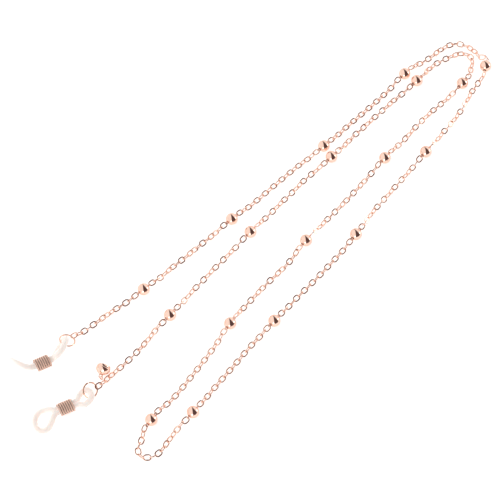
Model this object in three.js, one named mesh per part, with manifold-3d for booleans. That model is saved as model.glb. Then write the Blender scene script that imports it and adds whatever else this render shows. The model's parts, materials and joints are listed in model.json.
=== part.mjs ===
// An eyeglass retainer strap: a cable chain with polished balls along it, laid on a table in a
// long double loop, with a rubber temple loop hooked to each end by a jump ring.
// Millimetres, +Z up. z = 0 is the table, and +X runs along the length of the lay.
import * as THREE from "three";
import { mergeVertices } from "three/addons/utils/BufferGeometryUtils.js";
import Module from "manifold-3d";

const wasm = await Module();
wasm.setup();

// ---- Driving sizes, in millimetres ----
const CHAIN_WIDTH = 1.9; // a run of links, across its flats
const NECK_WIDTH = 0.9; // the link that is threaded through a ball or hooked beside it
const SHOULDER = 0.8; // a run's taper from its neck to its full width
const RUN_STEP = 2.8; // between the rings of corners along a run
const GAP = 0.3; // between pieces that touch

const BALL_DIAMETER = 4.0;
const BALL_WALL = 0.4;
const BALL_BORE = 1.5;
const STUB = 0.25; // how far the threaded link shows past its ball
const LEAD = 1.2; // how far the chain runs level from a ball before it drops
const DROP = 4; // how far along it comes down to the table

const TUBE_DIAMETER = 2.1; // the rubber cord of a temple loop
const WAIST_DIAMETER = 2.6; // the two legs of the cord, squeezed together in the sleeve
const WAIST_OVERHANG = 1.5; // how far the waist shows at each end of the sleeve

const SLEEVE_LENGTH = 5.6;
const SLEEVE_WIRE = 0.5;
const SLEEVE_TURN_GAP = 0.11;

const RING_DIAMETER = 4.95; // at the middle of the wire
const RING_WIRE = 0.48;
const HOOK_GAP = 0.45; // from the wire to the end of the chain
const RING_OPENING = 10; // degrees of the circle that the ring's slit takes

const CHARM_LINK_DIAMETER = 1.2; // at the middle of the wire
const CHARM_LINK_WIRE = 0.3;
const CHARM_EYE_DIAMETER = 1.36; // at the middle of the wire
const CHARM_EYE_WIRE = 0.32;
const CHARM_LENGTH = 3.1;
const CHARM_CROWN_DIAMETER = 4.7;
const CHARM_FOOT_DIAMETER = 1.5;

// ---- The lay ----
// Where each ball lies, from end A to end B: [x, y].
const BALLS = [
  [-46.4, 19.8], [-7, 20.5], [35.9, 21.2], [77.7, 24.3], [101.2, 7.6], [60.2, -3.9],
  [19.8, -11.6], [-22.4, -17.5], [-63.5, -24.4], [-75, -17.6], [-33.7, -8.6], [5.8, -2.2],
  [48.1, 3.7], [89.9, 7.9], [78.8, 19.3], [34.8, 16.2], [-5.7, 12.6], [-46.2, 6.8],
];
// How each run of chain lies between its two balls, in the same order: [x, y].
const RUNS = [
  [[-71.8, 21.4], [-66.3, 21.2], [-59.3, 20.8], [-53.3, 20.2]],
  [[-35.3, 20.1], [-25.6, 20.3], [-15.9, 20.5]],
  [[4.5, 20.7], [15.1, 21.2], [25.8, 21.5]],
  [[46.9, 22], [57.2, 22.5], [67.7, 23.2]],
  [[83.7, 24.4], [88.8, 23.8], [94.3, 23.6], [98.3, 23], [101, 21.7], [102.8, 19], [103.4, 15.1],
    [103, 11.9]],
  [[91.8, 3.9], [81.1, 0.2], [70.9, -1.9]],
  [[50.2, -5.5], [39.8, -7.2], [29.6, -9]],
  [[8.9, -13.5], [-1.6, -14.9], [-12, -16]],
  [[-32.7, -18.7], [-43.1, -20.6], [-53.3, -22.4]],
  [[-68.8, -24.9], [-72.3, -25.6], [-76.3, -26.6], [-80.3, -27.5], [-82.9, -27.1],
    [-85.3, -24.8], [-84.5, -22.2], [-81.2, -20.3]],
  [[-64.7, -16.2], [-54.5, -14.1], [-44.2, -11.6]],
  [[-24.1, -6.6], [-14.2, -5.3], [-4.1, -4.3]],
  [[16.6, -0.7], [27.2, 0.5], [38.1, 2.2]],
  [[59.3, 5.1], [69.6, 6.6], [80, 7.1]],
  [[94.8, 9.4], [97.6, 10.9], [100.3, 13.3], [100.5, 15.4], [99.2, 17.4], [95.8, 19],
    [91.3, 20.1], [85.7, 20.3]],
  [[68, 19.1], [57, 18.4], [46.1, 17.6]],
  [[24.9, 16.1], [14.6, 15], [4.5, 13.9]],
  [[-15.8, 11.5], [-25.9, 10.2], [-35.9, 8.7]],
  [[-51.3, 6.4], [-56.3, 5.3], [-60.8, 4.4], [-66.8, 3.6], [-71.2, 3.3], [-75.3, 3.1]],
];
const MIDDLE_RUN = 10; // the run that the rest of the strap is counted from

// Each temple loop is laid out from the middle of its sleeve, and the third number of that is how
// far it stands above a cord that lies on the table. heading is the sleeve's direction
// towards the ring and roll is how far the flat of the loop is turned up about it, in degrees.
// A point of the cord is [along, across, sway, rise]: along the sleeve, across the flat of the
// loop, and then sideways and upwards on the table. eye goes round the temple, and bight through
// the ring.
const LOOP_A = {
  middle: [-88.3, 20.3, 2.25], heading: -16.5, roll: -62.5,
  eye: [
    [-3.8, 0.5, 0.1, 0], [-4.7, 1.3, 0.2, 0], [-5.7, 2.3, 0.4, 0.2], [-7, 2.9, 1.5, 0.5],
    [-8.1, 2.3, 3.3, 0.5], [-8.7, 0, 4.9, 0.5],
    [-8.1, -2.3, 3.9, 0.5], [-7, -2.9, 2.4, 0.5], [-5.7, -2.3, 1.1, 0.2], [-4.7, -1.3, 0.4, 0],
    [-3.8, -0.5, 0.1, 0],
  ],
  bight: [
    [3.8, 0.5, 0.2, 0], [4.8, 1.4, 0.9, 0], [6.7, 2.4, 2.4, 0], [8.7, 2.1, 3.9, 0],
    [10.1, 0, 4.9, 0],
    [8.7, -2.1, 3.3, 0], [6.7, -2.4, 1.5, 0], [4.8, -1.4, 0.5, 0], [3.8, -0.5, 0.2, 0],
  ],
};
const LOOP_B = {
  middle: [-92.3, 3.65, 1.1], heading: -17, roll: 0,
  eye: [
    [-3.8, 0.5, 0, 0], [-4.9, 1.4, 0, -0.2], [-7, 2.2, 0, -0.7], [-9.1, 1.9, 0, -0.9],
    [-10.7, 0.2, 0, -1], [-11.2, -2.3, 0, -1], [-9.8, -4.2, 0, -1],
    [-7.7, -4, 0, -0.9], [-6, -2.6, 0, -0.5], [-4.8, -1.3, 0, -0.2], [-3.8, -0.5, 0, 0],
  ],
  bight: [
    [3.8, 0.5, 0, 0], [4.9, 1.9, 0, -0.5], [6.3, 3, 0, -0.85], [7.7, 3.5, 0, -0.95],
    [8.7, 2.6, 0, -0.45], [9, 1, 0, 0.2], [8.4, -0.6, 0, 0.6], [7, -1.6, 0, 0.6],
    [5.3, -1.8, 0, 0.3], [4.5, -1.2, 0, 0.1], [3.8, -0.5, 0, 0],
  ],
};
// Where each jump ring's wire is furthest from the chain, with its height counted from the middle
// of a cord that lies on the table. The bight hangs on the wire there.
const RING_A_FAR = [-79.27, 21.62, 2.257];
const RING_A_FALL = -24; // degrees, from the temple loop down to the chain
const RING_A_HEADING = 4.5;
const RING_A_SLIT = 90; // degrees round the ring from the chain
const RING_B_FAR = [-85.193, 3.458, 1.54];
const RING_B_ACROSS = [0.809, -0.372, -0.459]; // the ring's plane holds these two directions
const RING_B_ALONG = [0.579, 0.643, 0.5];
const RING_B_CHAIN = 22; // degrees round the ring from ACROSS to where the chain is hooked
const RING_B_SLIT = 105;
const CHARM_STATION = 2; // from the end of the chain at ring B to the charm's link
const CHARM_LEAN = [0.25, 0.8, 0.55]; // from the chain through the charm's link to its eye
const CHARM_AXIS = [0.84, 0.54, 0.05]; // from the eye to the crown, which rests on the table

// ---- Materials ----
const rose = (roughness) =>
  new THREE.MeshStandardMaterial({ color: 0xe9a58c, metalness: 1, roughness });
const polished = rose(0.12);
const drawnWire = rose(0.25);
const rubber = new THREE.MeshStandardMaterial({
  color: 0xf7efec, metalness: 0, roughness: 0.45, transparent: true, opacity: 0.8,
});

// ---- Helpers ----
const vec = (p) => new THREE.Vector3(...p);
const overCord = ([x, y, rise]) => new THREE.Vector3(x, y, TUBE_DIAMETER / 2 + rise);
const UP = new THREE.Vector3(0, 0, 1);
const DEG = Math.PI / 180;

// A curve that follows a flat one at a height worked out from the distance along it. Its rings of
// vertices stand at chosen distances.
class Lifted extends THREE.Curve {
  constructor(plan, stops, heightAt) {
    super();
    Object.assign(this, { plan, stops, heightAt, length: plan.getLength() });
  }
  atDistance(distance) {
    const point = this.plan.getPointAt(distance / this.length);
    point.z = this.heightAt(distance, this.length - distance);
    return point;
  }
  getPoint(t) {
    const at = t * (this.stops.length - 1);
    const low = Math.min(Math.floor(at), this.stops.length - 2);
    return this.atDistance(THREE.MathUtils.lerp(this.stops[low], this.stops[low + 1], at - low));
  }
  getUtoTmapping(u) {
    return u;
  }
  // The section stays level, so one of its flats lies on the table.
  computeFrenetFrames(segments) {
    const frames = { tangents: [], normals: [], binormals: [] };
    for (let i = 0; i <= segments; i++) {
      const tangent = this.getTangentAt(i / segments);
      const side = UP.clone().cross(tangent).normalize();
      frames.tangents.push(tangent);
      frames.normals.push(side);
      frames.binormals.push(tangent.clone().cross(side));
    }
    return frames;
  }
}

class Arc extends THREE.Curve {
  constructor(radius, from, to) {
    super();
    Object.assign(this, { radius, from, to });
  }
  getPoint(t) {
    const angle = THREE.MathUtils.lerp(this.from, this.to, t) * DEG;
    return new THREE.Vector3(Math.cos(angle), Math.sin(angle), 0).multiplyScalar(this.radius);
  }
}

class Helix extends THREE.Curve {
  constructor(radius, pitch, turns) {
    super();
    Object.assign(this, { radius, pitch, turns });
  }
  getPoint(t) {
    const angle = 2 * Math.PI * this.turns * t;
    const along = this.pitch * this.turns * (t - 0.5);
    return new THREE.Vector3(along, this.radius * Math.cos(angle), this.radius * Math.sin(angle));
  }
}

// A regular polygon with flats up and down, given the width across its flats.
function section(width, sides) {
  const radius = width / 2 / Math.cos(Math.PI / sides);
  const corners = [];
  for (let i = 0; i < sides; i++) {
    const angle = ((i + 0.5) / sides) * 2 * Math.PI;
    corners.push(new THREE.Vector2(radius * Math.cos(angle), radius * Math.sin(angle)));
  }
  return new THREE.Shape(corners);
}

function sweep(curve, width, steps, sides = 8) {
  return new THREE.ExtrudeGeometry(section(width, sides), { steps, extrudePath: curve });
}

function solid(geometry) {
  const bare = geometry.clone();
  for (const name of ["normal", "uv"]) bare.deleteAttribute(name);
  const merged = mergeVertices(bare, 1e-4);
  return new wasm.Manifold(
    new wasm.Mesh({
      numProp: 3,
      vertProperties: merged.attributes.position.array,
      triVerts: new Uint32Array(merged.index.array),
    }),
  );
}

function join(...geometries) {
  const mesh = geometries.map(solid).reduce((a, b) => a.add(b)).getMesh();
  const geometry = new THREE.BufferGeometry();
  geometry.setAttribute("position", new THREE.Float32BufferAttribute(mesh.vertProperties, 3));
  geometry.setIndex([...mesh.triVerts]);
  geometry.computeVertexNormals();
  return geometry;
}

function piece(name, geometry, material) {
  const mesh = new THREE.Mesh(geometry, material.clone());
  mesh.name = name;
  return mesh;
}

const two = (n) => String(n).padStart(2, "0");

// ---- The chain ----
const ballRadius = BALL_DIAMETER / 2;
const chainHeight = CHAIN_WIDTH / 2;

// The way that the chain runs through ball n, counted from end A.
function travel(n) {
  const before = RUNS[n - 1].at(-1);
  const after = RUNS[n][0];
  return new THREE.Vector3(after[0] - before[0], after[1] - before[1], 0).normalize();
}

function onBall(n, reach, height = ballRadius) {
  return vec([...BALLS[n - 1], height]).addScaledVector(travel(n), reach);
}

// A ball is threaded on the run that is nearer the middle, and the next run is hooked beside it.
const isThreaded = (run, ball) => (ball < MIDDLE_RUN ? run === ball + 1 : run === ball);

// Where a run ends beside one of its balls, from the ball's middle. A threaded run ends past it.
const endReach = (run, ball) =>
  isThreaded(run, ball) ? -(ballRadius + STUB) : ballRadius + STUB + GAP;

// The run seen from above. way is 1 where it leaves a ball and -1 where it arrives at one.
function planOf(run) {
  const beside = (ball, way) => {
    const reaches = [endReach(run, ball), ballRadius + LEAD];
    if (isThreaded(run, ball)) reaches.splice(1, 0, 0);
    return reaches.map((reach) => onBall(ball, way * reach, 0));
  };
  const laid = RUNS[run - 1].map(([x, y]) => vec([x, y, 0]));
  const first = run > 1 ? beside(run - 1, 1) : [hookA.clone().setZ(0)];
  const last = run < RUNS.length ? beside(run, -1).reverse() : [hookB.clone().setZ(0)];
  return new THREE.CatmullRomCurve3([...first, ...laid, ...last], false, "centripetal");
}

// One end of a run: its height, how far it stays level, and how long its narrow link is.
function endOf(run, ball) {
  if (ball < 1) return { height: hookA.z, level: 0, neck: LEAD };
  if (ball > BALLS.length) return { height: hookB.z, level: 0, neck: CHARM_STATION + LEAD };
  const reach = ballRadius - endReach(run, ball);
  return { height: ballRadius, level: reach + LEAD, neck: reach + LEAD - SHOULDER / 2 };
}

function runCurve(run) {
  const plan = planOf(run);
  const [start, end] = [endOf(run, run - 1), endOf(run, run)];
  const lift = ({ height, level }, distance) =>
    Math.max(height - chainHeight, 0) *
    (1 - THREE.MathUtils.smoothstep(distance, level, level + DROP));
  const heightAt = (fromStart, fromEnd) =>
    chainHeight + lift(start, fromStart) + lift(end, fromEnd);
  const length = plan.getLength();
  const [from, to] = [start.neck + SHOULDER, length - end.neck - SHOULDER];
  const bays = Math.ceil((to - from) / RUN_STEP);
  const stops = [0, start.neck];
  for (let i = 0; i <= bays; i++) stops.push(THREE.MathUtils.lerp(from, to, i / bays));
  stops.push(length - end.neck, length);
  return new Lifted(plan, stops, heightAt);
}

function runGeometry(run) {
  const curve = runCurve(run);
  const steps = curve.stops.length - 1;
  const geometry = sweep(curve, CHAIN_WIDTH, steps);
  narrowEnds(geometry, curve.getSpacedPoints(steps));
  return geometry;
}

// Draws the two rings of vertices at each end in to the width of a neck.
function narrowEnds(geometry, centres) {
  const position = geometry.attributes.position;
  const point = new THREE.Vector3();
  for (let i = 0; i < position.count; i++) {
    point.fromBufferAttribute(position, i);
    const away = centres.map((c) => c.distanceTo(point));
    const nearest = away.indexOf(Math.min(...away));
    if (nearest < 2 || nearest > centres.length - 3) {
      point.sub(centres[nearest]).multiplyScalar(NECK_WIDTH / CHAIN_WIDTH);
      point.add(centres[nearest]);
      position.setXYZ(i, point.x, point.y, point.z);
    }
  }
}

// A hollow ball with a hole at each end, turned about its bore.
function ballGeometry() {
  const arc = (radius, steps) => {
    const mouth = Math.asin(BALL_BORE / 2 / radius);
    const points = [];
    for (let i = 0; i <= steps; i++) {
      const angle = THREE.MathUtils.lerp(mouth, Math.PI - mouth, i / steps);
      points.push(new THREE.Vector2(radius * Math.sin(angle), -radius * Math.cos(angle)));
    }
    return points;
  };
  const profile = [...arc(ballRadius, 6), ...arc(ballRadius - BALL_WALL, 4).reverse()];
  return new THREE.LatheGeometry([...profile, profile[0]], 10);
}

// ---- The ends ----
function loopFrame({ middle, heading, roll }) {
  const frame = new THREE.Group();
  frame.position.copy(overCord(middle));
  frame.rotation.set(0, 0, heading * DEG);
  const turned = new THREE.Group();
  turned.rotation.set(roll * DEG, 0, 0);
  frame.add(turned);
  frame.updateMatrixWorld(true);
  return { frame, turned };
}

// The cord's points in the loop's own turned frame.
function cordPoints({ roll }, rows) {
  const unroll = new THREE.Matrix4().makeRotationX(-roll * DEG);
  return rows.map(([along, across, sway, rise]) =>
    vec([0, sway, rise]).applyMatrix4(unroll).add(vec([along, across, 0])),
  );
}

function loopGeometry(loop) {
  const bend = (rows) => {
    const curve = new THREE.CatmullRomCurve3(cordPoints(loop, rows), false, "centripetal");
    return sweep(curve, TUBE_DIAMETER, 2 * rows.length);
  };
  const length = SLEEVE_LENGTH + 2 * WAIST_OVERHANG;
  const waist = new THREE.CylinderGeometry(WAIST_DIAMETER / 2, WAIST_DIAMETER / 2, length, 16);
  waist.rotateZ(Math.PI / 2);
  return join(bend(loop.eye), waist, bend(loop.bight));
}

function sleeveGeometry() {
  const pitch = SLEEVE_WIRE + SLEEVE_TURN_GAP;
  const turns = Math.round((SLEEVE_LENGTH - SLEEVE_WIRE) / pitch);
  const radius = WAIST_DIAMETER / 2 + GAP + SLEEVE_WIRE / 2;
  return sweep(new Helix(radius, pitch, turns), SLEEVE_WIRE, 12 * turns, 6);
}

// A ring in the plane of two directions, across and along, with its slit at an angle from across.
function ringGroup(name, middle, across, along, slit) {
  const group = new THREE.Group();
  group.matrixAutoUpdate = false;
  group.matrix.makeBasis(across, along, across.clone().cross(along)).setPosition(middle);
  const arc = new Arc(RING_DIAMETER / 2, slit + RING_OPENING / 2, slit + 360 - RING_OPENING / 2);
  group.add(piece(name, sweep(arc, RING_WIRE, 22), drawnWire));
  return group;
}

const frameA = loopFrame(LOOP_A);
const frameB = loopFrame(LOOP_B);
const ringRadius = RING_DIAMETER / 2;

const ringAAcross = new THREE.Vector3(1, 0, 0)
  .applyAxisAngle(new THREE.Vector3(0, 1, 0), -RING_A_FALL * DEG)
  .applyAxisAngle(UP, RING_A_HEADING * DEG);
const ringAAlong = UP.clone().cross(ringAAcross).normalize();
const ringAMiddle = overCord(RING_A_FAR).addScaledVector(ringAAcross, ringRadius);
const hookReach = ringRadius + RING_WIRE / 2 + HOOK_GAP;
const hookA = ringAMiddle.clone().addScaledVector(ringAAcross, hookReach);

const ringBAcross = vec(RING_B_ACROSS).normalize();
const ringBAlong = vec(RING_B_ALONG).normalize();
const ringBChain = ringBAcross
  .clone()
  .multiplyScalar(Math.cos(RING_B_CHAIN * DEG))
  .addScaledVector(ringBAlong, Math.sin(RING_B_CHAIN * DEG));
const ringBMiddle = overCord(RING_B_FAR).addScaledVector(ringBChain, ringRadius);
const hookB = ringBMiddle.clone().addScaledVector(ringBChain, hookReach);

// ---- The charm ----
function charmPlace() {
  const curve = runCurve(RUNS.length);
  const onChain = curve.atDistance(curve.length - CHARM_STATION);
  const lean = vec(CHARM_LEAN).normalize();
  const axis = vec(CHARM_AXIS).normalize();
  const linkRadius = CHARM_LINK_DIAMETER / 2;
  const toLink = NECK_WIDTH / 2 / Math.cos(Math.PI / 8) + GAP + CHARM_LINK_WIRE / 2 + linkRadius;
  const link = onChain.addScaledVector(lean, toLink);
  const eye = link.clone().addScaledVector(lean, linkRadius);
  return { lean, axis, side: lean.clone().cross(axis).normalize(), link, eye };
}

// The link's wire crosses the charm's eye square on.
function charmLinkGroup({ lean, side, link }) {
  const group = new THREE.Group();
  group.matrixAutoUpdate = false;
  group.matrix.makeBasis(side, lean, side.clone().cross(lean)).setPosition(link);
  const arc = new Arc(CHARM_LINK_DIAMETER / 2, -84, 264);
  group.add(piece("charm_link", sweep(arc, CHARM_LINK_WIRE, 16, 6), drawnWire));
  return group;
}

// A flared drop with a flat crown, and an eye at its narrow end.
function charmGeometry() {
  const foot = CHARM_EYE_DIAMETER / 2 - CHARM_EYE_WIRE / 4;
  const [crown, narrow] = [CHARM_CROWN_DIAMETER / 2, CHARM_FOOT_DIAMETER / 2];
  const outline = [
    [0, 0], [narrow, 0], [0.62 * crown, 0.2], [0.9 * crown, 0.56], [crown, 0.84],
    [0.93 * crown, 1], [0, 1],
  ];
  const profile = outline.map(([r, h]) => new THREE.Vector2(r, foot + h * CHARM_LENGTH));
  const drop = new THREE.LatheGeometry(profile, 16);
  const eye = new THREE.TorusGeometry(CHARM_EYE_DIAMETER / 2, CHARM_EYE_WIRE / 2, 6, 16);
  return join(drop, eye);
}

function charmGroup({ axis, side, eye }) {
  const group = new THREE.Group();
  group.matrixAutoUpdate = false;
  group.matrix.makeBasis(axis.clone().cross(side), axis, side).setPosition(eye);
  group.add(piece("charm", charmGeometry(), polished));
  return group;
}

// ---- The assembly ----
const strap = new THREE.Group();

for (let run = 1; run <= RUNS.length; run++) {
  strap.add(piece(`chain_run_${two(run)}`, runGeometry(run), drawnWire));
}
for (let ball = 1; ball <= BALLS.length; ball++) {
  const mesh = piece(`ball_${two(ball)}`, ballGeometry(), polished);
  mesh.position.copy(onBall(ball, 0));
  mesh.quaternion.setFromUnitVectors(new THREE.Vector3(0, 1, 0), travel(ball));
  strap.add(mesh);
}
for (const [end, loop, { frame, turned }] of [["a", LOOP_A, frameA], ["b", LOOP_B, frameB]]) {
  turned.add(piece(`temple_loop_${end}`, loopGeometry(loop), rubber));
  turned.add(piece(`sleeve_${end}`, sleeveGeometry(), drawnWire));
  strap.add(frame);
}
strap.add(ringGroup("jump_ring_a", ringAMiddle, ringAAcross, ringAAlong, RING_A_SLIT));
strap.add(ringGroup("jump_ring_b", ringBMiddle, ringBAcross, ringBAlong, RING_B_SLIT));
strap.add(charmLinkGroup(charmPlace()));
strap.add(charmGroup(charmPlace()));

export default strap;
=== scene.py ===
"""Eyeglass retainer strap: a cable chain with polished balls, laid on a table in a double loop, and
a clear rubber temple loop at each end."""

import json
from math import asin, ceil, cos, pi, radians, sin

import bpy
from bpy.props import FloatProperty, FloatVectorProperty, IntProperty, PointerProperty
from mathutils import Matrix, Vector, noise


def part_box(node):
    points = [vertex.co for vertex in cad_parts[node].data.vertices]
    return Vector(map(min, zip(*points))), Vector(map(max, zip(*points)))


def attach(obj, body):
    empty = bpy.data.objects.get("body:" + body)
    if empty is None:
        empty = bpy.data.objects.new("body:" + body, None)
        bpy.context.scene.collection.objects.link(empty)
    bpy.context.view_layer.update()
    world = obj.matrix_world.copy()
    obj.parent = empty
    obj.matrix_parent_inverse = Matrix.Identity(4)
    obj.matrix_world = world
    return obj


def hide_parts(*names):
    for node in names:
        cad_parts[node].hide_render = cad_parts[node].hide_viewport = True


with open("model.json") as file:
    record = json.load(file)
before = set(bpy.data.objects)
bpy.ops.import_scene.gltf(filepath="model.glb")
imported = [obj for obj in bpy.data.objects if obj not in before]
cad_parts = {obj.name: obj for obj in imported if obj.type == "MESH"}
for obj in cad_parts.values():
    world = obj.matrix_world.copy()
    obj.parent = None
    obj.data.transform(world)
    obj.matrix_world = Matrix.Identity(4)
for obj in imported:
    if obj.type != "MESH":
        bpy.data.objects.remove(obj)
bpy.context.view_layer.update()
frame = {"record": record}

bl_info = {
    "name": "Eyeglass Retainer Strap",
    "version": (1, 0, 0),
    "blender": (4, 5, 0),
    "location": "View3D > Sidebar > Strap",
    "description": "Builds a beaded eyeglass chain with rubber temple loops",
    "category": "Object",
}

MM = 0.001
UP = Vector((0, 0, 1))

# ---- The lay, the same as the solid model's, in metres ----
# Where each ball lies, from end A to end B: (x, y).
BALLS = [
    (-0.0464, 0.0198), (-0.007, 0.0205), (0.0359, 0.0212), (0.0777, 0.0243), (0.1012, 0.0076),
    (0.0602, -0.0039), (0.0198, -0.0116), (-0.0224, -0.0175), (-0.0635, -0.0244),
    (-0.075, -0.0176), (-0.0337, -0.0086), (0.0058, -0.0022), (0.0481, 0.0037), (0.0899, 0.0079),
    (0.0788, 0.0193), (0.0348, 0.0162), (-0.0057, 0.0126), (-0.0462, 0.0068),
]
# How each run of chain lies between its two balls, in the same order: (x, y).
RUNS = [
    [(-0.0718, 0.0214), (-0.0663, 0.0212), (-0.0593, 0.0208), (-0.0533, 0.0202)],
    [(-0.0353, 0.0201), (-0.0256, 0.0203), (-0.0159, 0.0205)],
    [(0.0045, 0.0207), (0.0151, 0.0212), (0.0258, 0.0215)],
    [(0.0469, 0.022), (0.0572, 0.0225), (0.0677, 0.0232)],
    [
        (0.0837, 0.0244), (0.0888, 0.0238), (0.0943, 0.0236), (0.0983, 0.023), (0.101, 0.0217),
        (0.1028, 0.019), (0.1034, 0.0151), (0.103, 0.0119),
    ],
    [(0.0918, 0.0039), (0.0811, 0.0002), (0.0709, -0.0019)],
    [(0.0502, -0.0055), (0.0398, -0.0072), (0.0296, -0.009)],
    [(0.0089, -0.0135), (-0.0016, -0.0149), (-0.012, -0.016)],
    [(-0.0327, -0.0187), (-0.0431, -0.0206), (-0.0533, -0.0224)],
    [
        (-0.0688, -0.0249), (-0.0723, -0.0256), (-0.0763, -0.0266), (-0.0803, -0.0275),
        (-0.0829, -0.0271), (-0.0853, -0.0248), (-0.0845, -0.0222), (-0.0812, -0.0203),
    ],
    [(-0.0647, -0.0162), (-0.0545, -0.0141), (-0.0442, -0.0116)],
    [(-0.0241, -0.0066), (-0.0142, -0.0053), (-0.0041, -0.0043)],
    [(0.0166, -0.0007), (0.0272, 0.0005), (0.0381, 0.0022)],
    [(0.0593, 0.0051), (0.0696, 0.0066), (0.08, 0.0071)],
    [
        (0.0948, 0.0094), (0.0976, 0.0109), (0.1003, 0.0133), (0.1005, 0.0154), (0.0992, 0.0174),
        (0.0958, 0.019), (0.0913, 0.0201), (0.0857, 0.0203),
    ],
    [(0.068, 0.0191), (0.057, 0.0184), (0.0461, 0.0176)],
    [(0.0249, 0.0161), (0.0146, 0.015), (0.0045, 0.0139)],
    [(-0.0158, 0.0115), (-0.0259, 0.0102), (-0.0359, 0.0087)],
    [
        (-0.0513, 0.0064), (-0.0563, 0.0053), (-0.0608, 0.0044), (-0.0668, 0.0036),
        (-0.0712, 0.0033), (-0.0753, 0.0031),
    ],
]
# How the links of each run are turned about the chain, in degrees: at its start, and how much
# further at its end.
TWISTS = [
    (10, -150), (0, -288), (0, 8), (5, -10), (20, -230), (60, -306), (30, -300), (0, 8),
    (0, -6), (10, -150), (0, 10), (40, -290), (70, -300), (25, -306), (10, -240), (50, -290),
    (0, -306), (35, -306), (10, -150),
]

# Each temple loop is laid out from the middle of its sleeve, in millimetres and degrees. A point
# of the cord is (along, across, sway, rise).
LOOPS = {
    "a": {
        "middle": (-88.3, 20.3, 3.3), "heading": -16.5, "roll": -62.5,
        "eye": [
            (-3.9, 0.75, 0.1, 0), (-4.7, 1.3, 0.2, 0), (-5.7, 2.3, 0.4, 0.2), (-7, 2.9, 1.5, 0.5),
            (-8.1, 2.3, 3.3, 0.5), (-8.7, 0, 4.9, 0.5), (-8.1, -2.3, 3.9, 0.5),
            (-7, -2.9, 2.4, 0.5), (-5.7, -2.3, 1.1, 0.2), (-4.7, -1.3, 0.4, 0),
            (-3.9, -0.75, 0.1, 0),
        ],
        "bight": [
            (3.9, -0.75, 0.2, 0), (4.8, -1.4, 0.5, 0), (6.7, -2.4, 1.5, 0), (8.7, -2.1, 3.3, 0),
            (10.1, 0, 4.9, 0), (8.7, 2.1, 3.9, 0), (6.7, 2.4, 2.4, 0), (4.8, 1.4, 0.9, 0),
            (3.9, 0.75, 0.2, 0),
        ],
    },
    "b": {
        "middle": (-92.3, 3.65, 2.15), "heading": -17, "roll": 0,
        "eye": [
            (-3.9, 0.75, 0, 0), (-4.9, 1.4, 0, -0.2), (-7, 2.2, 0, -0.7), (-9.1, 1.9, 0, -0.9),
            (-10.7, 0.2, 0, -1), (-11.2, -2.3, 0, -1), (-9.8, -4.2, 0, -1), (-7.7, -4, 0, -0.9),
            (-6, -2.6, 0, -0.5), (-4.8, -1.3, 0, -0.2), (-3.9, -0.75, 0, 0),
        ],
        "bight": [
            (3.9, -0.75, 0, 0), (4.5, -1.2, 0, 0.1), (5.3, -1.8, 0, 0.3), (7, -1.6, 0, 0.6),
            (8.4, -0.6, 0, 0.6), (9, 1, 0, 0.2), (8.7, 2.6, 0, -0.45), (7.7, 3.5, 0, -0.95),
            (6.3, 3, 0, -0.85), (4.9, 1.9, 0, -0.5), (3.9, 0.75, 0, 0),
        ],
    },
}
# Each jump ring: its middle, two directions in its plane, the slit and where the chain is hooked,
# in millimetres and degrees round from the first direction.
RINGS = {
    "a": {
        "middle": (-77.02, 21.8, 2.3), "across": (0.9107, 0.0717, -0.4067),
        "along": (-0.0785, 0.9969, 0), "slit": 90, "chain": 0,
    },
    "b": {
        "middle": (-82.8, 3.2, 2), "across": (0.809, -0.372, -0.459),
        "along": (0.579, 0.643, 0.5), "slit": 105, "chain": 22,
    },
}
CHARM_LEAN = (0.25, 0.8, 0.55)  # from the chain through the charm's link to its eye
CHARM_AXIS = (0.84, 0.54, 0.05)  # from the eye to the crown

# ---- Small sizes that a user doesn't change ----
LEVEL_LEAD = 1.2 * MM  # how far the chain leaves a ball straight
RING_LEAD = 1.6 * MM  # and a jump ring
DESCENT_START = 0.8 * MM  # where it starts to come down to the table
DESCENT = 4.5 * MM
SHORTEST_CORD = 31 * MM  # for a run at least this long, 61 points are taken along its line
BALL_LIP = 0.09 * MM  # the rounded mouth of a ball's bore
MOUTH_DEPTH = 0.12 * MM
LEG_OFFSET = 0.73  # of each leg of the cord from the sleeve's line, in millimetres
LEG_REACH = 1.8  # along the sleeve, in millimetres
COIL_RADIUS = 1.82 * MM  # to the middle of a sleeve's wire
COIL_TUCK = 0.18 * MM  # how far the wire's cut ends go in
COIL_SIDES = 12  # of the section of a sleeve's wire, counted from the sleeve's middle
RING_SLIT = 9  # degrees
CHARM_LINK_DIAMETER = 1.2 * MM  # at the middle of the wire, as for the eye
CHARM_LINK_WIRE = 0.3 * MM
CHARM_EYE_DIAMETER = 1.36 * MM
CHARM_EYE_WIRE = 0.32 * MM
CHARM_STEP = 0.6 * MM  # from the link to the eye, and from the eye to the drop

# The light tent's dim slot, by the direction to it: the sideways part of its middle over the top,
# how that part and the slot's half width change towards the back, and the half width.
SLOT_MIDDLE = 0.24
SLOT_SLANT = 0.33
SLOT_NARROWING = 0.4
SLOT_HALF = 0.39


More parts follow.
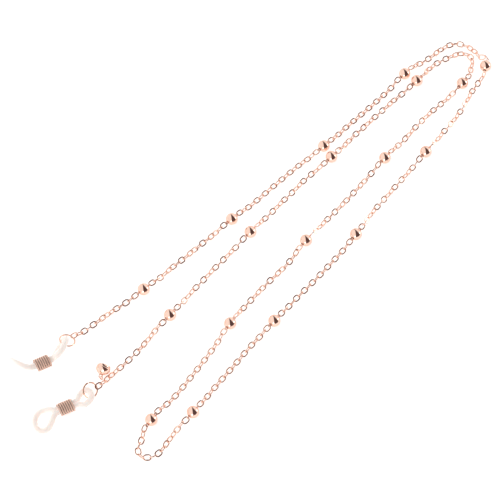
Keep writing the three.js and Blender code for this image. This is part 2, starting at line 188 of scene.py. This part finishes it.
# ---- What a user may change ----
class StrapSizes(bpy.types.PropertyGroup):
    """Sizes of the strap's pieces."""

    link_wire: FloatProperty(
        name="Link wire", description="Width of a link's flattened wire", default=0.42 * MM,
        subtype="DISTANCE", unit="LENGTH", precision=5,
    )
    link_thickness: FloatProperty(
        name="Link thickness", description="Thickness of a link's flattened wire",
        default=0.25 * MM, subtype="DISTANCE", unit="LENGTH", precision=5,
    )
    link_length: FloatProperty(
        name="Link length", description="Outer length of a link", default=2.82 * MM,
        subtype="DISTANCE", unit="LENGTH", precision=5,
    )
    link_width: FloatProperty(
        name="Link width", description="Outer width of a link", default=2.15 * MM,
        subtype="DISTANCE", unit="LENGTH", precision=5,
    )
    ball_diameter: FloatProperty(
        name="Ball diameter", description="Outer diameter of a ball", default=4 * MM,
        subtype="DISTANCE", unit="LENGTH", precision=5,
    )
    ball_bore: FloatProperty(
        name="Ball bore", description="Diameter of the hole through a ball", default=1.1 * MM,
        subtype="DISTANCE", unit="LENGTH", precision=5,
    )
    eye_wire: FloatProperty(
        name="Eye wire", description="Thickness of the wire eye at each side of a ball",
        default=0.32 * MM, subtype="DISTANCE", unit="LENGTH", precision=5,
    )
    cord_diameter: FloatProperty(
        name="Cord diameter", description="Diameter of the rubber cord", default=2.1 * MM,
        subtype="DISTANCE", unit="LENGTH", precision=5,
    )
    sleeve_length: FloatProperty(
        name="Sleeve length", description="Length of the wound sleeve", default=5.6 * MM,
        subtype="DISTANCE", unit="LENGTH", precision=5,
    )
    sleeve_wire: FloatProperty(
        name="Sleeve wire", description="Thickness of the sleeve's wire", default=0.7 * MM,
        subtype="DISTANCE", unit="LENGTH", precision=5,
    )
    sleeve_turns: IntProperty(
        name="Sleeve turns", description="Turns of wire in a sleeve", default=7, min=2,
    )
    ring_diameter: FloatProperty(
        name="Jump ring diameter", description="Diameter at the middle of the ring's wire",
        default=4.95 * MM, subtype="DISTANCE", unit="LENGTH", precision=5,
    )
    ring_wire: FloatProperty(
        name="Jump ring wire", description="Thickness of a jump ring's wire",
        default=0.55 * MM, subtype="DISTANCE", unit="LENGTH", precision=5,
    )


class StrapFinishes(bpy.types.PropertyGroup):
    """Colours of the strap and of the table."""

    gold: FloatVectorProperty(
        name="Rose gold", description="Colour of the plating", subtype="COLOR", size=4,
        default=(0.94, 0.66, 0.54, 1), min=0, max=1,
    )
    rubber: FloatVectorProperty(
        name="Rubber", description="Colour of the clear rubber", subtype="COLOR", size=4,
        default=(0.96, 0.87, 0.82, 1), min=0, max=1,
    )
    table: FloatVectorProperty(
        name="Table", description="Colour of the table", subtype="COLOR", size=4,
        default=(0.9, 0.9, 0.9, 1), min=0, max=1,
    )


# ---- Curves ----
def spline(points, closed=False, step=0.1 * MM):
    """Points a step apart along a centripetal Catmull-Rom curve through the given ones."""
    pts = [Vector(p) for p in points]
    if closed:
        pts = [pts[-1], *pts, pts[0], pts[1]]
    else:
        pts = [2 * pts[0] - pts[1], *pts, 2 * pts[-1] - pts[-2]]
    fine = []
    for p0, p1, p2, p3 in zip(pts, pts[1:], pts[2:], pts[3:]):
        d0, d1, d2 = ((b - a).length ** 0.5 or 1e-4 for a, b in ((p0, p1), (p1, p2), (p2, p3)))
        t1 = ((p1 - p0) / d0 - (p2 - p0) / (d0 + d1) + (p2 - p1) / d1) * d1
        t2 = ((p2 - p1) / d1 - (p3 - p1) / (d1 + d2) + (p3 - p2) / d2) * d1
        count = max(2, ceil((p2 - p1).length / step))
        for i in range(count):
            t = i / count
            fine.append(
                p1 * (2 * t**3 - 3 * t**2 + 1) + t1 * (t**3 - 2 * t**2 + t)
                + p2 * (3 * t**2 - 2 * t**3) + t2 * (t**3 - t**2)
            )
    if not closed:
        fine.append(pts[-2].copy())
    return fine


class Route:
    """A line of close points, read by the distance along it."""

    def __init__(self, points):
        self.points = points
        self.marks = [0.0]
        for a, b in zip(points, points[1:]):
            self.marks.append(self.marks[-1] + (b - a).length)
        self.length = self.marks[-1]

    def at(self, distance):
        marks = self.marks
        low, high = 0, len(marks) - 2
        while low < high:
            middle = (low + high + 1) // 2
            if marks[middle] <= distance:
                low = middle
            else:
                high = middle - 1
        span = marks[low + 1] - marks[low]
        return self.points[low].lerp(self.points[low + 1], (distance - marks[low]) / span)

    def way(self, distance):
        near = 0.3 * MM
        ahead = self.at(min(distance + near, self.length))
        return (ahead - self.at(max(distance - near, 0))).normalized()


def smooth(t):
    t = min(max(t, 0), 1)
    return t * t * (3 - 2 * t)


# ---- Meshes ----
def turned_by(middle, x_way, z_hint):
    """A matrix at middle whose X lies along x_way and whose Z is as near z_hint as it can be."""
    x = x_way.normalized()
    y = z_hint.cross(x).normalized()
    z = x.cross(y)
    rows = Matrix((x, y, z)).transposed().to_4x4()
    return Matrix.Translation(middle) @ rows


def round_wire(half):
    return lambda i, angle: (half * cos(angle), half * sin(angle))


def flat_wire(half_width, half_thickness):
    """A rolled wire: flat above and below, with rounded corners."""
    def corner(value):
        return abs(value) ** 0.35 * (1 if value > 0 else -1)

    return lambda i, angle: (half_width * corner(cos(angle)), half_thickness * corner(sin(angle)))


def tube(points, ways, hints, section, sides, closed=False):
    """Vertices and faces of a tube. section(i, angle) gives its skin across and above the line."""
    verts, faces = [], []
    for i, (point, way, hint) in enumerate(zip(points, ways, hints)):
        side = hint.cross(way).normalized()
        top = way.cross(side).normalized()
        for j in range(sides):
            angle = 2 * pi * j / sides
            a, b = section(i, angle)
            verts.append(point + side * a + top * b)
    count = len(points)
    for i in range(count if closed else count - 1):
        k = (i + 1) % count
        for j in range(sides):
            n = (j + 1) % sides
            faces.append((i * sides + j, i * sides + n, k * sides + n, k * sides + j))
    if not closed:
        for end, way in ((0, -1), (count - 1, 1)):
            middle = len(verts)
            radius = (verts[end * sides] - points[end]).length
            verts.append(points[end] + ways[end] * (way * radius * 0.5))
            for j in range(sides):
                n = (j + 1) % sides
                face = (end * sides + j, end * sides + n, middle)
                faces.append(face if way > 0 else face[::-1])
    return verts, faces


def ways_of(points, closed=False):
    count = len(points)
    found = []
    for i in range(count):
        a = points[i - 1] if closed or i else points[0]
        b = points[(i + 1) % count] if closed or i < count - 1 else points[-1]
        found.append((b - a).normalized())
    return found


def combined(parts):
    verts, faces = [], []
    for some_verts, some_faces in parts:
        first = len(verts)
        verts += some_verts
        faces += [tuple(first + i for i in f) for f in some_faces]
    return verts, faces


def piece(name, mesh_data, material, body, nodes):
    verts, faces = mesh_data
    mesh = bpy.data.meshes.new(name)
    mesh.from_pydata([tuple(v) for v in verts], [], faces)
    mesh.update()
    mesh.shade_smooth()
    mesh.materials.append(material)
    obj = bpy.data.objects.new(name, mesh)
    bpy.context.scene.collection.objects.link(obj)
    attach(obj, body)
    if nodes:
        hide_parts(*nodes)
    return obj


def lathe(profile, steps):
    """A solid turned about X. The profile is a closed list of (x, radius)."""
    verts, faces = [], []
    count = len(profile)
    for i in range(steps):
        angle = 2 * pi * i / steps
        verts += [Vector((x, r * cos(angle), r * sin(angle))) for x, r in profile]
    for i in range(steps):
        k = (i + 1) % steps
        for j in range(count):
            n = (j + 1) % count
            faces.append((i * count + j, i * count + n, k * count + n, k * count + j))
    return verts, faces


def moved(matrix, mesh_data):
    verts, faces = mesh_data
    return [matrix @ v for v in verts], faces


# ---- Materials ----
def shader(name):
    material = bpy.data.materials.get(name)
    if material:
        return material, None, None
    material = bpy.data.materials.new(name)
    material.use_nodes = True
    tree = material.node_tree
    return material, tree, tree.nodes["Principled BSDF"]


def link(tree, a, b):
    tree.links.new(a, b)


def noise_of(tree, scale, detail):
    where = tree.nodes.new("ShaderNodeTexCoord")
    cloud = tree.nodes.new("ShaderNodeTexNoise")
    cloud.inputs["Scale"].default_value = scale
    cloud.inputs["Detail"].default_value = detail
    link(tree, where.outputs["Object"], cloud.inputs["Vector"])
    return cloud.outputs["Fac"]


def spread(tree, factor, low, high):
    span = tree.nodes.new("ShaderNodeMapRange")
    span.inputs["To Min"].default_value = low
    span.inputs["To Max"].default_value = high
    link(tree, factor, span.inputs["Value"])
    return span.outputs["Result"]


def bump(tree, factor, depth, strength, target):
    bumps = tree.nodes.new("ShaderNodeBump")
    bumps.inputs["Strength"].default_value = strength
    bumps.inputs["Distance"].default_value = depth
    link(tree, factor, bumps.inputs["Height"])
    link(tree, bumps.outputs["Normal"], target.inputs["Normal"])


def tint(tree, factor, light, dark, target):
    ramp = tree.nodes.new("ShaderNodeValToRGB")
    ramp.color_ramp.elements[0].color = light
    ramp.color_ramp.elements[0].position = 0.35
    ramp.color_ramp.elements[1].color = dark
    ramp.color_ramp.elements[1].position = 0.75
    link(tree, factor, ramp.inputs["Fac"])
    link(tree, ramp.outputs["Color"], target)


def shaded(colour, share):
    return (*(c * share for c in colour[:3]), 1)


def plating(name, roughness, wear, metallic=1):
    """Rose-gold plating: a little uneven in colour, with fine handling marks."""
    material, tree, surface = shader(name)
    if tree is None:
        return material
    gold = tuple(bpy.context.scene.strap_finishes.gold)
    surface.inputs["Metallic"].default_value = metallic
    surface.inputs["Specular Tint"].default_value = (0.85, 0.62, 0.55, 1)
    tint(
        tree, noise_of(tree, 900, 3), gold, shaded(gold, 0.93), surface.inputs["Base Color"]
    )
    rough = spread(tree, noise_of(tree, 2600, 4), roughness * (1 - wear), roughness * (1 + wear))
    link(tree, rough, surface.inputs["Roughness"])
    bump(tree, noise_of(tree, 4200, 2), 0.004 * MM, 0.12, surface)
    return material


def painted_groove_shade():
    """Painted shade: darker plating where a coil's turns meet, standing in for the grooves' shade.
    """
    material, tree, surface = shader("Painted groove shade")
    if tree is None:
        return material
    gold = tuple(bpy.context.scene.strap_finishes.gold)
    surface.inputs["Metallic"].default_value = 0.7
    patchy = noise_of(tree, 1400, 3)
    tint(tree, patchy, shaded(gold, 0.62), shaded(gold, 0.48), surface.inputs["Base Color"])
    link(tree, spread(tree, noise_of(tree, 2600, 4), 0.3, 0.5), surface.inputs["Roughness"])
    bump(tree, noise_of(tree, 3000, 3), 0.01 * MM, 0.2, surface)
    return material


def clear_rubber():
    material, tree, surface = shader("Clear rubber")
    if tree is None:
        return material
    colour = tuple(bpy.context.scene.strap_finishes.rubber)
    surface.inputs["Subsurface Weight"].default_value = 0.85
    surface.inputs["Subsurface Radius"].default_value = (1, 0.85, 0.8)
    surface.inputs["Subsurface Scale"].default_value = 1.5 * MM
    surface.inputs["IOR"].default_value = 1.41
    surface.inputs["Specular IOR Level"].default_value = 0.25
    # Painted light: a faint pinkish glow that brightens the rubber, as light through clear rubber
    # would.
    surface.inputs["Emission Color"].default_value = (1, 0.9, 0.87, 1)
    surface.inputs["Emission Strength"].default_value = 0.18
    tint(
        tree, noise_of(tree, 350, 3), colour, shaded(colour, 0.965), surface.inputs["Base Color"]
    )
    rough = spread(tree, noise_of(tree, 1800, 4), 0.28, 0.46)
    link(tree, rough, surface.inputs["Roughness"])
    bump(tree, noise_of(tree, 1500, 3), 0.01 * MM, 0.15, surface)
    return material


# ---- The chain ----
def sizes():
    return bpy.context.scene.strap_sizes


def ball_radius():
    return sizes().ball_diameter / 2


def travel(n):
    before, after = RUNS[n - 1][-1], RUNS[n][0]
    return Vector((after[0] - before[0], after[1] - before[1], 0)).normalized()


def ball_middle(n):
    return Vector((*BALLS[n - 1], ball_radius()))


def eye_reach():
    """From a ball's middle to the middle of its wire eye."""
    return ball_radius() + 0.42 * MM


def eye_radius():
    return 0.44 * MM


def first_link_end():
    """From a ball's middle to the end wire of the link that is hooked in its eye."""
    seat = eye_reach() + eye_radius()
    return seat - (sizes().eye_wire + sizes().link_wire) / 2


def ring_frame(end):
    ring = RINGS[end]
    across = Vector(ring["across"]).normalized()
    along = Vector(ring["along"]).normalized()
    return Vector(ring["middle"]) * MM, across, along


def ring_hook(end):
    """Where the end wire of the chain's last link lies in the jump ring, and the way out."""
    middle, across, along = ring_frame(end)
    angle = radians(RINGS[end]["chain"])
    way = across * cos(angle) + along * sin(angle)
    reach = (sizes().ring_diameter - sizes().ring_wire - sizes().link_wire) / 2
    return middle + way * reach, way


def rise_of(turn):
    """Height of the chain's line over the table where its links are turned by that much."""
    lean = max(abs(sin(turn)), abs(cos(turn)))
    half_wire = sizes().link_wire / 2
    return half_wire + (sizes().link_width / 2 - half_wire) * lean + 0.01 * MM


def turn_at(run, share):
    start, further = TWISTS[run - 1]
    return radians(start + further * share)


def run_route(run):
    """The line of the chain in a run, from the end wire of its first link to that of its last."""
    level = first_link_end()
    ends = []
    for way, ball, end in ((1, run - 1, "a"), (-1, run, "b")):
        if 1 <= ball <= len(BALLS):
            out = travel(ball) * way
            reaches = (level, level + LEVEL_LEAD)
            ends.append([ball_middle(ball) + out * reach for reach in reaches])
        else:
            hook, out = ring_hook(end)
            ends.append([hook, hook + out.xy.to_3d() * RING_LEAD])
    heights = [e[0].z for e in ends]
    laid = [Vector((x, y, 0)) for x, y in RUNS[run - 1]]
    plan = [p.xy.to_3d() for p in (*ends[0], *laid, *reversed(ends[1]))]
    flat = Route(spline(plan))
    fine = []
    for distance, point in zip(flat.marks, flat.points):
        low = rise_of(turn_at(run, distance / flat.length))
        near_start = 1 - smooth((distance - DESCENT_START) / DESCENT)
        near_end = 1 - smooth((flat.length - distance - DESCENT_START) / DESCENT)
        height = low + (heights[0] - low) * near_start + (heights[1] - low) * near_end
        fine.append(Vector((point.x, point.y, height)))
    return Route(fine)


def link_shape():
    """One oval link in its own plane, XY, with its length along X."""
    half_wire = sizes().link_wire / 2
    bend = sizes().link_width / 2 - half_wire
    straight = sizes().link_length / 2 - half_wire - bend
    points = []
    for i in range(28):
        angle = 2 * pi * i / 28
        shift = straight * (1 if cos(angle) > 1e-6 else -1 if cos(angle) < -1e-6 else 0)
        points.append(Vector((bend * cos(angle) + shift, bend * sin(angle), 0)))
    ways = ways_of(points, True)
    section = flat_wire(half_wire, sizes().link_thickness / 2)
    return tube(points, ways, [UP] * len(points), section, 12, True)


def chain_links(run, shape):
    route = run_route(run)
    half_wire = sizes().link_wire / 2
    reach = sizes().link_length / 2 - half_wire
    pitch = 2 * (reach - half_wire)
    span = route.length - 2 * reach
    count = max(2, ceil(span / pitch) + 1)
    if (count - 1) * pitch - span > 0.75 * pitch:
        count -= 1
    parts = []
    for i in range(count):
        share = i / (count - 1)
        distance = reach + span * share
        way = route.way(distance)
        turn = turn_at(run, share) + (i % 2) * pi / 2
        side = UP.cross(way).normalized()
        normal = way.cross(side) * cos(turn) + side * sin(turn)
        parts.append(moved(turned_by(route.at(distance), way, normal), shape))
    return route, combined(parts)


class STRAP_OT_chain(bpy.types.Operator):
    """Adds the chain's nineteen runs of oval links"""

    bl_idname = "strap.chain"
    bl_label = "Chain"

    def execute(self, context):
        finish = plating("Rose-gold wire", 0.11, 0.3)
        shape = link_shape()
        for run in range(1, len(RUNS) + 1):
            route, links = chain_links(run, shape)
            name = f"run_{run:02d}"
            chain = piece(
                f"chain_links_{run:02d}", links, finish, name, [f"chain_run_{run:02d}"],
            )
            if route.length < SHORTEST_CORD:
                continue
            path = [route.at(route.length * i / 60) for i in range(61)]
        return {"FINISHED"}


# ---- The balls ----
def ball_shape():
    """A ball with a bore and rounded mouths, turned about X."""
    radius, bore = ball_radius(), sizes().ball_bore / 2
    mouth = asin((bore + BALL_LIP) / radius)
    outer = []
    for i in range(33):
        angle = mouth + (pi - 2 * mouth) * i / 32
        outer.append((-radius * cos(angle), radius * sin(angle)))
    edge = outer[-1][0]
    rounded = [(edge - 0.02 * MM, bore + 0.02 * MM), (edge - MOUTH_DEPTH, bore)]
    return lathe([*outer, *rounded, *((-x, r) for x, r in reversed(rounded))], 56)


def eye_pin():
    """The wire through a ball and the small eye at each of its ends, along X."""
    wire = sizes().eye_wire / 2
    parts = []
    for way in (-1, 1):
        middle = Vector((way * eye_reach(), 0, 0))
        points = []
        for i in range(24):
            angle = 2 * pi * i / 24
            points.append(middle + Vector((cos(angle), sin(angle), 0)) * eye_radius())
        ways = ways_of(points, True)
        parts.append(tube(points, ways, [UP] * 24, round_wire(wire), 10, True))
    stem = eye_reach() - eye_radius()
    points = [Vector((x, 0, 0)) for x in (-stem, -stem / 3, stem / 3, stem)]
    parts.append(tube(points, ways_of(points), [UP] * 4, round_wire(wire), 10))
    return combined(parts)


class STRAP_OT_balls(bpy.types.Operator):
    """Adds the eighteen polished balls, each on its wire with an eye at each side"""

    bl_idname = "strap.balls"
    bl_label = "Balls"

    def execute(self, context):
        polish = plating("Polished rose gold", 0.045, 0.4)
        wire_finish = plating("Rose-gold wire", 0.11, 0.3)
        ball, pin = ball_shape(), eye_pin()
        bodies = frame["record"]["behaviour"]["bodies"]
        for n in range(1, len(BALLS) + 1):
            owner = next(b for b, nodes in bodies.items() if f"ball_{n:02d}" in nodes)
            lean = radians(35 + 47 * n)
            side = UP.cross(travel(n)).normalized()
            top = UP * cos(lean) + side * sin(lean)
            place = turned_by(ball_middle(n), travel(n), top)
            piece(
                f"polished_ball_{n:02d}", moved(place, ball), polish, owner, [f"ball_{n:02d}"],
            )
            piece(f"eye_pin_{n:02d}", moved(place, pin), wire_finish, owner, [])
        return {"FINISHED"}


# ---- The ends ----
def loop_frame(end):
    loop = LOOPS[end]
    heading = Matrix.Rotation(radians(loop["heading"]), 4, "Z")
    roll = Matrix.Rotation(radians(loop["roll"]), 4, "X")
    return Matrix.Translation(Vector(loop["middle"]) * MM) @ heading @ roll


def cord_points(end, rows):
    loop = LOOPS[end]
    unroll = Matrix.Rotation(-radians(loop["roll"]), 4, "X")
    place = loop_frame(end)
    found = []
    for along, across, sway, rise in rows:
        local = unroll @ Vector((0, sway, rise)) + Vector((along, across, 0))
        found.append(place @ (local * MM))
    return found


def loop_shape(end):
    """The rubber cord, pressed oval where the sleeve holds its two legs together."""
    loop = LOOPS[end]
    down = [(along, -LEG_OFFSET, 0, 0) for along in (-LEG_REACH, 0, LEG_REACH)]
    back = [(along, LEG_OFFSET, 0, 0) for along in (LEG_REACH, 0, -LEG_REACH)]
    rows = [*loop["eye"], *down, *loop["bight"], *back]
    points = Route(spline(cord_points(end, rows), True))
    closed = Route([*points.points, points.points[0]])
    count = round(closed.length / (0.3 * MM))
    line = [closed.at(closed.length * i / count) for i in range(count)]
    place = loop_frame(end)
    inverse = place.inverted()
    normal = (place.to_3x3() @ UP).normalized()
    radius = sizes().cord_diameter / 2
    squeeze = []
    for point in line:
        along = abs((inverse @ point).x) / MM
        squeeze.append(1 - smooth((along - 2.2) / 2.6))
    wobble = [noise.noise(p * 420) * 0.015 for p in line]

    def section(i, angle):
        s = squeeze[i]
        w = 1 + wobble[i]
        wide, high = radius * w * (1 - 0.31 * s), radius * w * (1 + 0.14 * s)
        return wide * cos(angle), high * sin(angle)

    return tube(line, ways_of(line, True), [normal] * count, section, 24, True)


class STRAP_OT_temple_loops(bpy.types.Operator):
    """Adds the two clear rubber loops that grip the temples"""

    bl_idname = "strap.temple_loops"
    bl_label = "Temple loops"

    def execute(self, context):
        rubber = clear_rubber()
        for end in LOOPS:
            piece(
                f"rubber_loop_{end}", loop_shape(end), rubber, f"loop_{end}",
                [f"temple_loop_{end}"],
            )
        return {"FINISHED"}


def sleeve_shape(end):
    """A close-wound coil about the sleeve's line, with its two cut ends tucked in."""
    turns, wire = sizes().sleeve_turns, sizes().sleeve_wire
    per_turn = 36
    steps = turns * per_turn
    span = sizes().sleeve_length - wire
    points = []
    for i in range(steps + 1):
        t = i / steps
        angle = 2 * pi * turns * t
        near_end = min(i, steps - i) / per_turn
        tuck = COIL_TUCK * (1 - smooth(near_end / 0.3))
        reach = COIL_RADIUS - tuck
        points.append(Vector((span * (t - 0.5), reach * cos(angle), reach * sin(angle))))
    hints = [Vector((1, 0, 0))] * len(points)
    coil = tube(points, ways_of(points), hints, round_wire(wire / 2), COIL_SIDES)
    return moved(loop_frame(end), coil)


class STRAP_OT_sleeves(bpy.types.Operator):
    """Adds the wound wire sleeve round the legs of each temple loop"""

    bl_idname = "strap.sleeves"
    bl_label = "Sleeves"

    def execute(self, context):
        finish = plating("Rose-gold coil", 0.5, 0.2, metallic=0.55)
        for end in LOOPS:
            sleeve = piece(
                f"wound_sleeve_{end}", sleeve_shape(end), finish, f"slider_{end}",
                [f"sleeve_{end}"],
            )
            # Painted shade: the faces on each turn's sides, towards the next turns, take the dark
            # groove material.
            sleeve.data.materials.append(painted_groove_shade())
            for face in sleeve.data.polygons:
                beside = face.index % COIL_SIDES % (COIL_SIDES // 2)
                if len(face.vertices) == 4 and 1 <= beside <= COIL_SIDES // 2 - 2:
                    face.material_index = 1
        return {"FINISHED"}


def open_ring(diameter, wire, slit, opening, steps, sides):
    """An open ring in XY with its slit at an angle, in degrees."""
    points = []
    for i in range(steps + 1):
        angle = radians(slit + opening / 2 + (360 - opening) * i / steps)
        points.append(Vector((cos(angle), sin(angle), 0)) * (diameter / 2))
    return tube(points, ways_of(points), [UP] * len(points), round_wire(wire / 2), sides)


class STRAP_OT_jump_rings(bpy.types.Operator):
    """Adds the open ring that joins the chain to each temple loop"""

    bl_idname = "strap.jump_rings"
    bl_label = "Jump rings"

    def execute(self, context):
        finish = plating("Rose-gold ring", 0.08, 0.3)
        for end in RINGS:
            middle, across, along = ring_frame(end)
            shape = open_ring(
                sizes().ring_diameter, sizes().ring_wire, RINGS[end]["slit"], RING_SLIT, 72, 12
            )
            place = turned_by(middle, across, across.cross(along))
            piece(
                f"open_ring_{end}", moved(place, shape), finish, f"ring_{end}",
                [f"jump_ring_{end}"],
            )
        return {"FINISHED"}


def charm_shape():
    """A rounded drop with a cut crown, turned about X from its foot."""
    outline = [
        (0, 0.5), (0.04, 0.62), (0.15, 0.8), (0.4, 1.18), (0.75, 1.64), (1.1, 1.98),
        (1.45, 2.2), (1.8, 2.3), (2.0, 2.3), (2.05, 2.24), (2.12, 2.24), (2.17, 2.29),
        (2.6, 2.22), (2.95, 2.15), (3.04, 2.12), (3.09, 2.05), (3.1, 1.95), (3.05, 1.75),
        (3.05, 0.7),
    ]
    profile = [(x * MM, r * MM) for x, r in outline]
    return lathe([(0, 0.02 * MM), *profile, (3.05 * MM, 0.02 * MM)], 56)


class STRAP_OT_charm(bpy.types.Operator):
    """Adds the small drop charm and the link that carries it"""

    bl_idname = "strap.charm"
    bl_label = "Charm"

    def execute(self, context):
        low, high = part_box("charm_link")
        link_middle = (low + high) / 2
        lean, axis = Vector(CHARM_LEAN).normalized(), Vector(CHARM_AXIS).normalized()
        side = lean.cross(axis).normalized()
        finish = plating("Rose-gold wire", 0.11, 0.3)
        polish = plating("Polished rose gold", 0.045, 0.4)
        ring = open_ring(CHARM_LINK_DIAMETER, CHARM_LINK_WIRE, 270, 12, 40, 10)
        place = turned_by(link_middle, side, side.cross(lean))
        piece(
            "charm_ring", moved(place, ring), finish, "charm_link", ["charm_link"],
        )
        eye = link_middle + lean * CHARM_STEP
        eye_ring = open_ring(CHARM_EYE_DIAMETER, CHARM_EYE_WIRE, 0, 0.01, 40, 10)
        eye_place = turned_by(eye, axis, side)
        drop_place = turned_by(eye + axis * CHARM_STEP, axis, side)
        shape = combined([moved(eye_place, eye_ring), moved(drop_place, charm_shape())])
        piece("drop_charm", shape, polish, "charm", ["charm"])
        return {"FINISHED"}


# ---- The stage ----
def area_light(name, place, target, size, power):
    data = bpy.data.lights.new(name, "AREA")
    data.shape = "DISK"
    data.size = size
    data.energy = power
    light = bpy.data.objects.new(name, data)
    light.location = place
    aim = Vector(target) - Vector(place)
    light.rotation_mode = "QUATERNION"
    light.rotation_quaternion = aim.to_track_quat("-Z", "Y")
    bpy.context.scene.collection.objects.link(light)


def table_material():
    material, tree, surface = shader("Pale table")
    if tree is None:
        return material
    colour = tuple(bpy.context.scene.strap_finishes.table)
    surface.inputs["Roughness"].default_value = 0.9
    surface.inputs["Specular IOR Level"].default_value = 0.1
    tint(tree, noise_of(tree, 8, 2), colour, shaded(colour, 0.995), surface.inputs["Base Color"])
    surface.inputs["Emission Color"].default_value = (1, 1, 1, 1)
    surface.inputs["Emission Strength"].default_value = 0.6
    return material


def stretch(tree, factor, low, high):
    """Takes a number from between low and high to between 0 and 1."""
    span = tree.nodes.new("ShaderNodeMapRange")
    span.inputs["From Min"].default_value = low
    span.inputs["From Max"].default_value = high
    link(tree, factor, span.inputs["Value"])
    return span.outputs["Result"]


def reckon(tree, operation, first, second):
    sum_of = tree.nodes.new("ShaderNodeMath")
    sum_of.operation = operation
    link(tree, first, sum_of.inputs[0])
    if isinstance(second, float):
        sum_of.inputs[1].default_value = second
    elif second:
        link(tree, second, sum_of.inputs[1])
    return sum_of.outputs["Value"]


def blended(tree, factor, first, second):
    mix = tree.nodes.new("ShaderNodeMix")
    mix.data_type = "RGBA"
    link(tree, factor, mix.inputs["Factor"])
    for socket, colour in ((mix.inputs[6], first), (mix.inputs[7], second)):
        if isinstance(colour, tuple):
            socket.default_value = colour
        else:
            link(tree, colour, socket)
    return mix.outputs[2]


def sky():
    """A white light tent with a dim slot over its top, wider towards the front."""
    world = bpy.data.worlds.new("Light tent")
    world.use_nodes = True
    tree = world.node_tree
    where = tree.nodes.new("ShaderNodeTexCoord")
    split = tree.nodes.new("ShaderNodeSeparateXYZ")
    link(tree, where.outputs["Generated"], split.inputs["Vector"])
    slant = reckon(tree, "MULTIPLY", split.outputs["Y"], SLOT_SLANT)
    off = reckon(tree, "SUBTRACT", reckon(tree, "SUBTRACT", split.outputs["X"], slant), SLOT_MIDDLE)
    narrowing = reckon(tree, "MULTIPLY", split.outputs["Y"], SLOT_NARROWING)
    beside = reckon(tree, "ADD", reckon(tree, "ABSOLUTE", off, None), narrowing)
    lit = stretch(tree, beside, SLOT_HALF - 0.05, SLOT_HALF + 0.04)
    height = stretch(tree, split.outputs["Z"], 0, 1)
    slot = blended(tree, height, (0.12, 0.08, 0.08, 1), (0.1, 0.07, 0.072, 1))
    tent = blended(tree, lit, slot, (1, 1, 1, 1))
    path = tree.nodes.new("ShaderNodeLightPath")
    shown = blended(tree, path.outputs["Is Camera Ray"], tent, (1, 1, 1, 1))
    back = tree.nodes["Background"]
    link(tree, shown, back.inputs["Color"])
    back.inputs["Strength"].default_value = 1.08
    bpy.context.scene.world = world


class STRAP_OT_stage(bpy.types.Operator):
    """Adds the table, the lights and the camera"""

    bl_idname = "strap.stage"
    bl_label = "Stage"

    def execute(self, context):
        mesh = bpy.data.meshes.new("table")
        wide = 4
        corners = [(-wide, -wide, 0), (wide, -wide, 0), (wide, wide, 0), (-wide, wide, 0)]
        mesh.from_pydata(corners, [], [(0, 1, 2, 3)])
        mesh.materials.append(table_material())
        table = bpy.data.objects.new("table", mesh)
        context.scene.collection.objects.link(table)
        context.scene.view_settings.view_transform = "Standard"
        sky()
        area_light("left", (-0.58, -0.43, 0.16), (0, 0, 0), 0.3, 0.7)
        area_light("right", (0.64, -0.32, 0.17), (0, 0, 0), 0.3, 0.7)
        azimuth, elevation, away = radians(-42), radians(60), 0.62
        target = Vector((-9.73, 8.35, 0)) * MM
        back = Vector(
            (sin(azimuth) * cos(elevation), -cos(azimuth) * cos(elevation), sin(elevation))
        )
        data = bpy.data.cameras.new("camera")
        data.sensor_width = 36
        data.lens = 36 * away / (500 / 3 * MM)
        data.clip_start, data.clip_end = 0.01, 20
        camera = bpy.data.objects.new("camera", data)
        camera.location = target + back * away
        camera.rotation_mode = "QUATERNION"
        camera.rotation_quaternion = (-back).to_track_quat("-Z", "Y")
        context.scene.collection.objects.link(camera)
        context.scene.camera = camera
        return {"FINISHED"}


# ---- The sidebar ----
class STRAP_PT_panel(bpy.types.Panel):
    """Lists the strap's sizes, finishes and pieces"""

    bl_idname = "STRAP_PT_panel"
    bl_label = "Eyeglass Strap"
    bl_space_type = "VIEW_3D"
    bl_region_type = "UI"
    bl_category = "Strap"

    def draw(self, context):
        for group in (context.scene.strap_sizes, context.scene.strap_finishes):
            box = self.layout.box()
            for name in group.__annotations__:
                box.prop(group, name)
        for step in STEPS:
            self.layout.operator(step.bl_idname)


STEPS = (
    STRAP_OT_stage, STRAP_OT_chain, STRAP_OT_balls, STRAP_OT_temple_loops, STRAP_OT_sleeves,
    STRAP_OT_jump_rings, STRAP_OT_charm,
)
CLASSES = (StrapSizes, StrapFinishes, *STEPS, STRAP_PT_panel)


def register():
    for each in CLASSES:
        bpy.utils.register_class(each)
    bpy.types.Scene.strap_sizes = PointerProperty(type=StrapSizes)
    bpy.types.Scene.strap_finishes = PointerProperty(type=StrapFinishes)


def unregister():
    del bpy.types.Scene.strap_finishes
    del bpy.types.Scene.strap_sizes
    for each in reversed(CLASSES):
        bpy.utils.unregister_class(each)


def main():
    register()
    for step in (
        bpy.ops.strap.stage, bpy.ops.strap.chain, bpy.ops.strap.balls,
        bpy.ops.strap.temple_loops, bpy.ops.strap.sleeves, bpy.ops.strap.jump_rings,
        bpy.ops.strap.charm,
    ):
        step()


if __name__ == "__main__":
    main()
